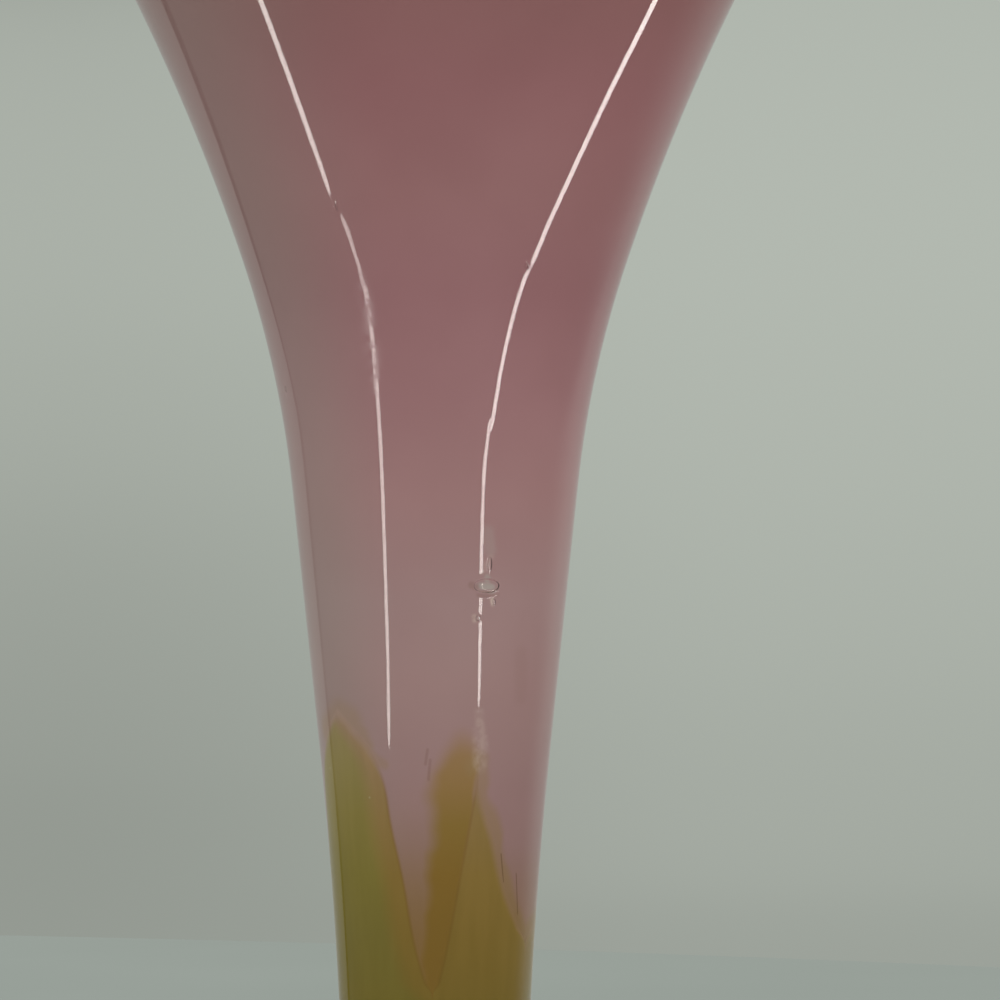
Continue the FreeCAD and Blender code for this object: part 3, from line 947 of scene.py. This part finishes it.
def makeLeaf(name, about):
    waist = wall["waist"][0]
    flareRise = wall["stations"][-1][0]
    tip = (about["tip"][0], about["tip"][1] * flareRise)
    notches = {side: (about[side][0], about[side][1] * flareRise) for side in ("left", "right")}
    edges = {side: smoothEdge(tip, notches[side], about[side][2]) for side in notches}

    def edgeTurn(side, height):
        line = edges[side]
        notchTurn, notchRise = notches[side]
        if height <= notchRise:
            return notchTurn
        return float(np.interp(height, line[::-1, 1], line[::-1, 0]))

    def awayFrom(side, degrees, radius, height):
        # Below a notch the leaves are one mass, so the edges count as further away
        below = max(0.0, notches[side][1] - height + leafGlass["massAbove"])
        return radius * math.radians(degrees) + leafGlass["massGain"] * below

    back = wall["leafCover"] + leafGlass["thickness"]
    across, up = leafGlass["grid"]
    shape = bmesh.new()
    bmesh.ops.create_grid(shape, x_segments=across, y_segments=up, size=0.5, calc_uvs=True)
    fromLeft, fromRight, fromTip = (shape.verts.layers.float.new(part)
                                    for part in ("fromLeft", "fromRight", "fromTip"))
    for point in shape.verts:
        sideward, upward = point.co.x + 0.5, point.co.y + 0.5
        height = tip[1] * (1 - (1 - upward) ** leafGlass["crowding"]) * leafGlass["lastRow"]
        left, right = edgeTurn("left", height), edgeTurn("right", height)
        turn = left + sideward * (right - left)
        radius = radiusAt(waist + height) - wall["leafCover"]
        point[fromLeft] = awayFrom("left", turn - left, radius, height)
        point[fromRight] = awayFrom("right", right - turn, radius, height)
        point[fromTip] = tip[1] - height
        # The leaf thins out towards its edges, down to the lining that it is fused to
        inside = min(1.0, min(point[fromLeft], point[fromRight]) / leafGlass["taper"])
        full = inside * inside * (3 - 2 * inside)
        point.co = onWall(turn, waist + height, back - leafGlass["edge"]
                          - (leafGlass["thickness"] - leafGlass["edge"]) * full)
    bmesh.ops.remove_doubles(shape, verts=shape.verts, dist=tiny)
    copied = bmesh.ops.extrude_face_region(shape, geom=shape.faces[:])["geom"]
    for point in copied:
        if isinstance(point, bmesh.types.BMVert):
            x, y, z = point.co
            point.co = onWall(math.degrees(math.atan2(x, -y)), z, back)
    bmesh.ops.recalc_face_normals(shape, faces=shape.faces)
    return finishPiece(name, shape)


def fusedNormal(tree, place, height):
    # A fused leaf takes the light halfway between its own shape and the wall
    x, y = partsOf(tree, place)[:2]
    slopes = [math.tan(math.radians(lean)) for lean in (wall["waist"][2], wall["stations"][0][1])]
    slope = put(tree, "ShaderNodeMapRange", {
        "Value": height, "From Min": wall["waist"][0],
        "From Max": wall["waist"][0] + wall["stations"][0][0],
        "To Min": -slopes[0], "To Max": -slopes[1]}).outputs["Result"]
    facing = placeOf(tree, x, y, times(tree, lengthOf(tree, x, y), slope))
    ownNormal = put(tree, "ShaderNodeNewGeometry").outputs["Normal"]
    both = vectorCalc(tree, "ADD", vectorCalc(tree, "NORMALIZE", facing), ownNormal)
    return vectorCalc(tree, "NORMALIZE", both)


def leafMaterial(name, about):
    material, tree, shader = newMaterial(name)
    place, turn, height = placeOn(tree)
    fromLeft, fromRight, fromTip = (
        put(tree, "ShaderNodeAttribute", attribute_name=part).outputs["Fac"]
        for part in ("fromLeft", "fromRight", "fromTip"))
    green = colourByHeight(tree, height, leafGlass["green"])
    amber = colourByHeight(tree, height, leafGlass["amber"])
    reach = about["amberReach"]
    leftAmber, rightAmber = (
        times(tree, fade(tree, away, reach, reach * leafGlass["amberEdge"]), share)
        for away, share in zip((fromLeft, fromRight), about["amber"]))
    colour = blendColours(tree, calc(tree, "MAXIMUM", leftAmber, rightAmber), green, amber)
    colour = addFibres(tree, colour, turn, height)
    seeds = put(tree, "ShaderNodeTexVoronoi", {"Vector": place, "Scale": leafGlass["seedScale"],
                                               "Randomness": 1.0}).outputs
    rare = put(tree, "ShaderNodeSeparateColor", {"Color": seeds["Color"]}).outputs[0]
    speck = times(tree, fadeAll(tree, (seeds["Distance"], rare), leafGlass["seedFades"]),
                  leafGlass["seedWeight"])
    colour = blendColours(tree, speck, colour, screenColour(*leafGlass["seedColour"]))

    # A thin brownish line just inside the clearer edges
    for away, melt in zip((fromLeft, fromRight), about["melt"]):
        if melt <= leafGlass["clearMelt"]:
            line = fadeAll(tree, (away, away), leafGlass["lineFades"])
            colour = tinted(tree, line, colour, leafGlass["lineTint"])

    # The edges and the tip melt into the rose glass
    softer = fade(tree, fromTip, *leafGlass["tipReach"], about["softTip"], 1.0)
    leftMelt, rightMelt, tipMelt = about["melt"]
    share = times(tree, fade(tree, fromLeft, 0.0, times(tree, softer, leftMelt)),
                  fade(tree, fromRight, 0.0, times(tree, softer, rightMelt)),
                  fade(tree, fromTip, 0.0, tipMelt))
    colour = blendColours(tree, share, roseColour(tree, place, turn, height), colour)
    feed(tree, shader, {"Normal": fusedNormal(tree, place, height)})
    makeMatt(tree, shader, colour)
    return material


for name, about in leaves.items():
    leaf = makeLeaf(name, about)
    leaf.data.materials.append(leafMaterial(name + "Glass", about))
    passLight(leaf)
    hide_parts(about["node"])
    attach(leaf, "root")
print("leaves ready")

stem = {
    "colours": [(0.022, (92, 86, 42)), (0.045, (104, 95, 43)), (0.07, (114, 102, 44)),
                (0.0882, (119, 105, 44))],
    "streakTint": (228, 232, 214),
    "streakFade": (0.086, 0.07),    # they grow stronger down from the leaves
    "streakFineness": 0.35,
    "streakTwist": 420.0,           # degrees per metre
}


def stemMaterial():
    material, tree, shader = newMaterial("oliveCore")
    turn, height = placeOn(tree)[1:]
    colour = addFibres(tree, colourByHeight(tree, height, stem["colours"]), turn, height)
    streaks = times(tree, fade(tree, height, *stem["streakFade"]), pulledFibres(
        tree, turn, height, stem["streakFineness"], stem["streakTwist"]))
    makeMatt(tree, shader, tinted(tree, streaks, colour, stem["streakTint"]), 0.4)
    return material


foot = {
    "tint": (232, 232, 206),
    "clearness": 0.84,          # the rest is a slight haze of fine seeds
    "roughness": 0.02,
    # The ground pontil mark underneath fades out by radius and by height
    "groundFades": ((0.0105, 0.0085), (0.0055, 0.004)),
    "groundRoughness": 0.4,
    "gritScale": 1400.0,
    "gritDepth": 0.00006,
    "ringScale": 260.0,         # the faint rings that turning left
    "ringWander": 0.01,
    "ringDepth": 0.00003,
}


def footMaterial():
    material, tree, shader = clearGlass("paleOliveFoot", foot)
    place, turn, height = placeOn(tree)
    radius = lengthOf(tree, *partsOf(tree, place)[:2])
    ground = fadeAll(tree, (radius, height), foot["groundFades"])
    grit = noise(tree, place, foot["gritScale"])
    spread = placeOf(tree, times(tree, radius, foot["ringScale"]),
                     times(tree, turn, foot["ringWander"]))
    rings = noise(tree, spread, 1.0, 1.0)
    rough = plus(tree, times(tree, ground, foot["groundRoughness"]), foot["roughness"])
    feed(tree, shader, {"Roughness": rough})
    addBump(tree, shader, plus(tree, times(tree, rings, foot["ringDepth"]),
                               times(tree, ground, grit, foot["gritDepth"])))
    return material


collar = {
    "low": 0.0226,           # its two faces
    "high": 0.0301,
    "faceRadius": 0.017,
    "bulge": 0.0032,
    "fusedLow": 0.0162,      # how far out it runs into the foot and into the casing
    "fusedHigh": 0.0146,
    "tint": (250, 252, 246),
    "clearness": 0.9,
    "roughness": 0.02,
    "waveScale": 90.0,
    "waveHeight": 0.00005,
}


def makeCollar(steps=16):
    half = (collar["high"] - collar["low"]) / 2
    size = (half ** 2 + collar["bulge"] ** 2) / (2 * collar["bulge"])
    reach = math.asin(half / size)
    centre = collar["faceRadius"] + collar["bulge"] - size
    middle = (collar["high"] + collar["low"]) / 2
    angles = [reach * step / steps for step in range(-steps, steps + 1)]
    rim = [(centre + size * math.cos(angle), middle + size * math.sin(angle)) for angle in angles]
    low, high = collar["low"] - wall["seam"], collar["high"] + wall["seam"]
    shape = bmesh.new()
    spinOutline(shape, [(0.0, low), (collar["fusedLow"], low), (collar["fusedLow"], collar["low"])]
                + rim + [(collar["fusedHigh"], collar["high"]), (collar["fusedHigh"], high),
                         (0.0, high)], closed=False)
    return finishPiece("clearCollar", shape)


def collarMaterial():
    material, tree, shader = clearGlass("clearCollar", collar)
    place = put(tree, "ShaderNodeTexCoord").outputs["Object"]
    addBump(tree, shader, noise(tree, place, collar["waveScale"], 1.0), collar["waveHeight"])
    return material


clearCollar = makeCollar()
clearCollar.data.materials.append(collarMaterial())
passLight(clearCollar)
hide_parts("stem_merese")
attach(clearCollar, "root")

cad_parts["green_stem"].data.materials[0] = stemMaterial()
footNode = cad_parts["foot"]
footNode.data.materials[0] = footMaterial()
passLight(footNode)
print("stem, collar and foot ready")
